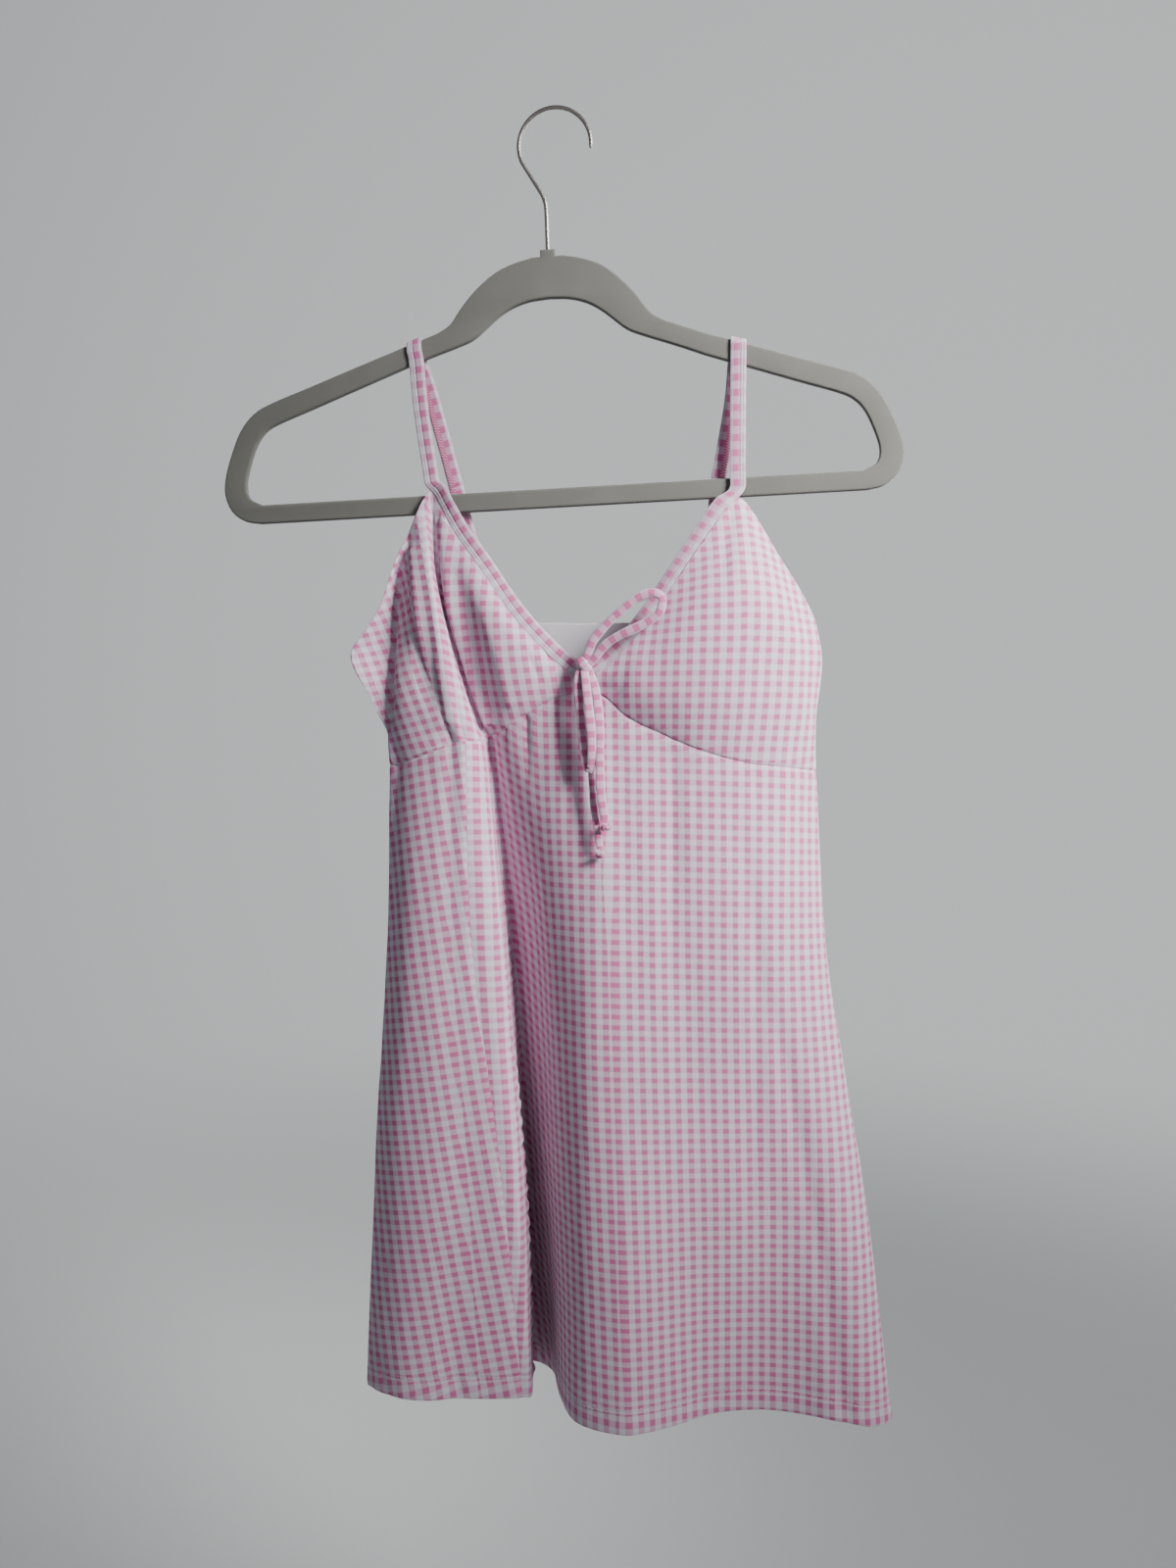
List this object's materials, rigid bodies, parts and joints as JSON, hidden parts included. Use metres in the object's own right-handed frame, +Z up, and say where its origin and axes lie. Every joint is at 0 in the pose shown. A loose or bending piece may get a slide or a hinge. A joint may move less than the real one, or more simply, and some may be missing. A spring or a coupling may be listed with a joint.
{
  "type": "gingham dress on a hanger",
  "caption": "Short strappy A-line dress in checked knit with a bow at the neck, hung flat on a flocked hanger with a wire hook; neck, armholes and hem open.",
  "frame": {"origin": "Top of the inside of the hook's crook, where the peg or rail that holds the hanger touches it.", "axes": "+Z up along the dress, +X to the wearer's left as seen from the front, -Y out of the dress's front."},
  "size_m": [0.4412, 0.1033, 0.8413],
  "materials": {
    "gingham": "pink and white checked stretch knit, matt",
    "lining": "pale grey smooth knit, matt",
    "flock": "light grey flocked, velvety",
    "wire": "satin nickel-plated wire"
  },
  "bodies": {
    "root": {"skirt_front": "gingham", "skirt_back": "gingham", "cup_left": "gingham", "cup_right": "gingham", "bodice_back": "gingham", "bodice_back_lining": "lining", "neck_binding_and_strap_left": "gingham", "neck_binding_and_strap_right": "gingham", "back_strap_left": "gingham", "back_strap_right": "gingham", "tie_knot": "gingham", "tie_loop_up": "gingham", "tie_loop_down": "gingham", "tie_tail_short": "gingham", "tie_tail_long": "gingham", "tie_end_short": "gingham", "tie_end_long": "gingham", "hanger_body": "flock", "hanger_hook": "wire"}
  },
  "joints": []
}
